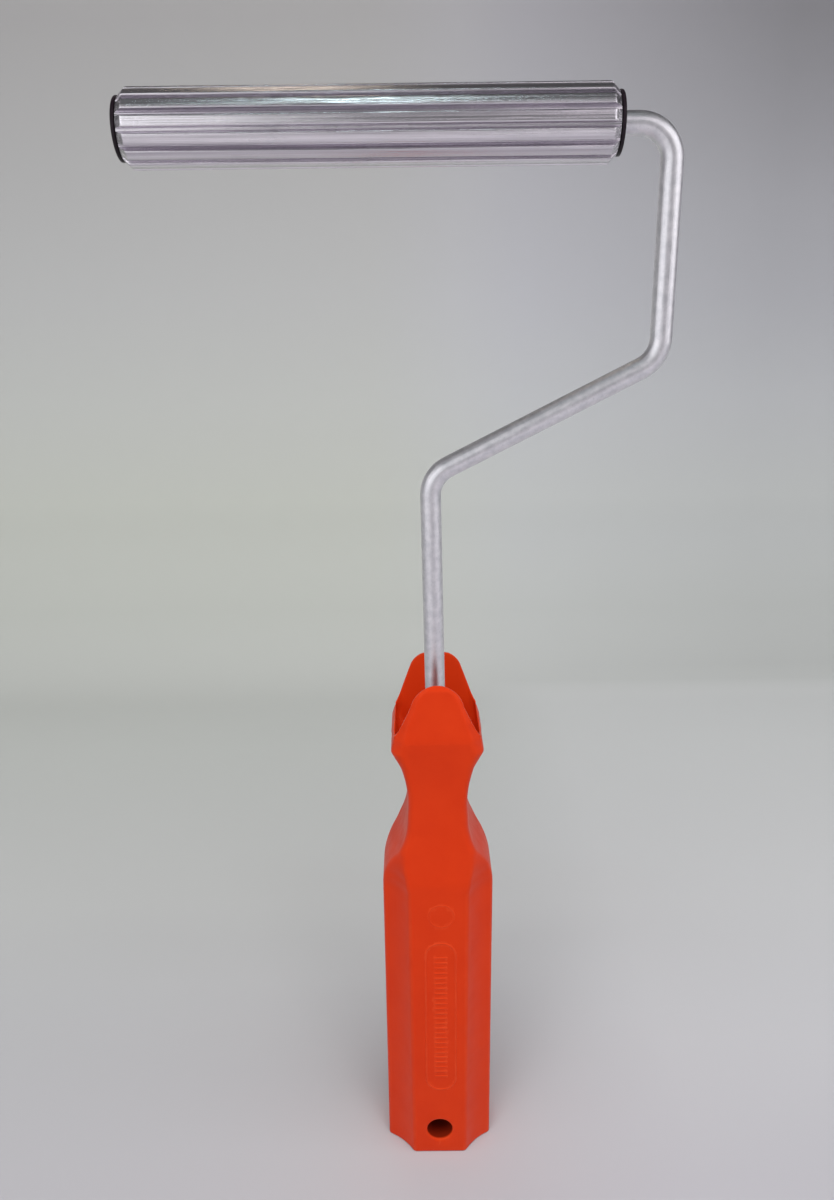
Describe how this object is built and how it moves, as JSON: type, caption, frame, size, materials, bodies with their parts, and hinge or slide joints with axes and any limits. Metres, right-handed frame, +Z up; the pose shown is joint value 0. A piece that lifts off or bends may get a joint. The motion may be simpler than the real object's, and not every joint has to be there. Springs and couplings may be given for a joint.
{
  "type": "ribbed hand roller",
  "caption": "Hand roller: a ribbed aluminium tube with flanged plastic end bushes turns freely on a cranked wire frame fixed in a long moulded handle with a hanging hole.",
  "frame": {"origin": "centre of the flat butt face of the handle, which the tool can stand on", "axes": "+Z up the handle towards the roller, +X along the roller axis from its free end to the end beside the wire's upright, +Y away from the handle's front face"},
  "size_m": [0.1624, 0.0352, 0.371],
  "materials": {
    "orange_plastic": "satin moulded polypropylene, fine grain",
    "zinc_plated_steel": "dull zinc plating on drawn wire",
    "spring_steel": "plain spring steel",
    "aluminium": "satin extrusion with fine lengthwise lines",
    "black_plastic": "satin moulded nylon"
  },
  "bodies": {
    "frame": {"handle": "orange_plastic", "frame_rod": "zinc_plated_steel", "left_retaining_washer": "spring_steel", "right_retaining_washer": "spring_steel"},
    "roller": {"roller_tube": "aluminium", "left_end_bush": "black_plastic", "right_end_bush": "black_plastic"}
  },
  "joints": [
    {"name": "roller_spin", "type": "hinge", "parent": "frame", "child": "roller", "pos_m": [-0.018, 0, 0.3601], "axis": [1, 0, 0], "continuous": true}
  ]
}
